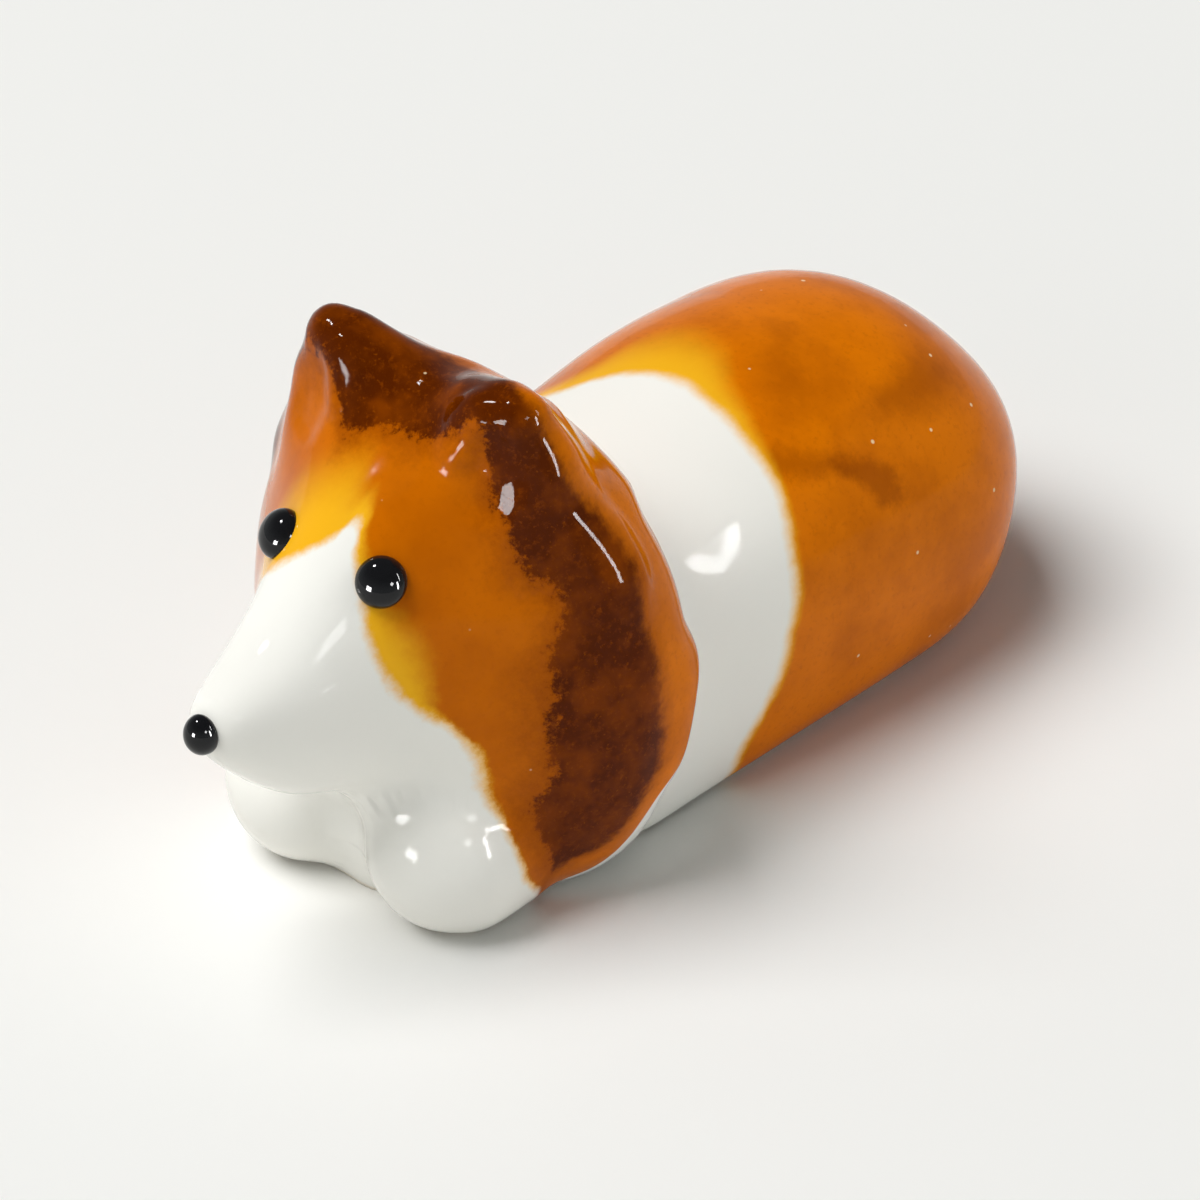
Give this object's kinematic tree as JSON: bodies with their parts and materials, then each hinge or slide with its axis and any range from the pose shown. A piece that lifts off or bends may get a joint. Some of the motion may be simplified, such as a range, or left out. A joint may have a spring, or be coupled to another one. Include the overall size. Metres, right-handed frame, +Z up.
{
  "type": "chopstick rest",
  "caption": "Glazed porcelain chopstick rest shaped as a long-haired herding dog lying flat, with a low neck saddle that holds the chopsticks' tips off the table",
  "frame": {"origin": "on the table, under the middle of the part's box", "axes": "+Z up, the nose towards -Y, the rump towards +Y, the dog's left side towards +X"},
  "size_m": [0.0266, 0.0624, 0.0314],
  "materials": {
    "painted_glaze": "glossy clear glaze over brushed amber, brown and white porcelain",
    "brown_glaze": "glossy clear glaze over brushed dark brown",
    "white_glaze": "glossy clear glaze over white porcelain",
    "black_glaze": "glossy raised black glaze"
  },
  "bodies": {
    "root": {"torso": "painted_glaze", "head": "painted_glaze", "left_ear": "brown_glaze", "right_ear": "brown_glaze", "left_forepaw": "white_glaze", "right_forepaw": "white_glaze", "left_eye": "black_glaze", "right_eye": "black_glaze", "nose_bead": "black_glaze"}
  },
  "joints": []
}
